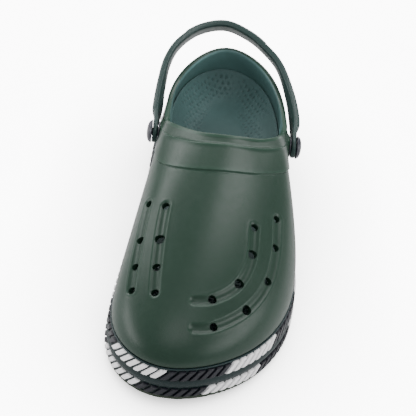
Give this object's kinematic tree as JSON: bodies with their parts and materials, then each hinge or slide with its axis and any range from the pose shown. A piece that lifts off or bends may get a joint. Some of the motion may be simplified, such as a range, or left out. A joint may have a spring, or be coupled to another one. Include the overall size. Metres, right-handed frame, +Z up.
{
  "type": "rubber garden clog",
  "caption": "Closed-toe foam garden clog with vented toe box, dimpled footbed, banded sole with slanted bars, lugged outsole and a heel strap that swings on side rivets.",
  "frame": {"origin": "on the ground under the centre of the clog's bounding box at rest", "axes": "+Z up; +Y from the toe to the heel; +X from the inner, big-toe side to the outer side of this left clog"},
  "size_m": [0.1216, 0.2987, 0.091],
  "materials": {
    "upper_foam": "satin moulded foam with a fine grain",
    "footbed_foam": "matt dimpled foam",
    "midsole_foam": "satin moulded foam",
    "outsole_rubber": "matt lugged rubber",
    "strap_foam": "satin moulded foam",
    "rivet_plastic": "satin moulded plastic",
    "bars_white": "satin moulded rubber",
    "bars_navy": "satin moulded rubber"
  },
  "bodies": {
    "shoe": {"upper": "upper_foam", "footbed": "footbed_foam", "midsole": "midsole_foam", "outsole": "outsole_rubber", "bars_white_lower_1": "bars_white", "bars_navy_lower_1": "bars_navy", "bars_white_lower_2": "bars_white", "bars_navy_lower_2": "bars_navy", "bars_white_lower_3": "bars_white", "bars_navy_lower_3": "bars_navy", "bars_white_lower_4": "bars_white", "bars_navy_lower_4": "bars_navy", "bars_white_lower_5": "bars_white", "bars_navy_lower_5": "bars_navy", "bars_white_lower_6": "bars_white", "bars_navy_lower_6": "bars_navy", "bars_white_lower_7": "bars_white", "bars_navy_lower_7": "bars_navy", "bars_white_lower_8": "bars_white", "bars_navy_lower_8": "bars_navy", "bars_white_upper_1": "bars_white", "bars_navy_upper_1": "bars_navy", "bars_white_upper_2": "bars_white", "bars_navy_upper_2": "bars_navy", "bars_white_upper_3": "bars_white", "bars_navy_upper_3": "bars_navy", "bars_white_upper_4": "bars_white", "bars_navy_upper_4": "bars_navy", "bars_white_upper_5": "bars_white", "bars_navy_upper_5": "bars_navy", "bars_white_upper_6": "bars_white", "bars_navy_upper_6": "bars_navy", "bars_white_upper_7": "bars_white", "bars_navy_upper_7": "bars_navy", "bars_white_upper_8": "bars_white", "bars_navy_upper_8": "bars_navy", "rivet_head_inner": "rivet_plastic", "rivet_washer_inner": "rivet_plastic", "rivet_cap_inner": "rivet_plastic", "rivet_head_outer": "rivet_plastic", "rivet_washer_outer": "rivet_plastic", "rivet_cap_outer": "rivet_plastic"},
    "strap": {"heel_strap": "strap_foam"}
  },
  "joints": [
    {"name": "strap_swing", "type": "hinge", "parent": "shoe", "child": "strap", "pos_m": [0.00304, 0.04686, 0.058], "axis": [1, 0, 0], "range_deg": [-5, 128]}
  ]
}
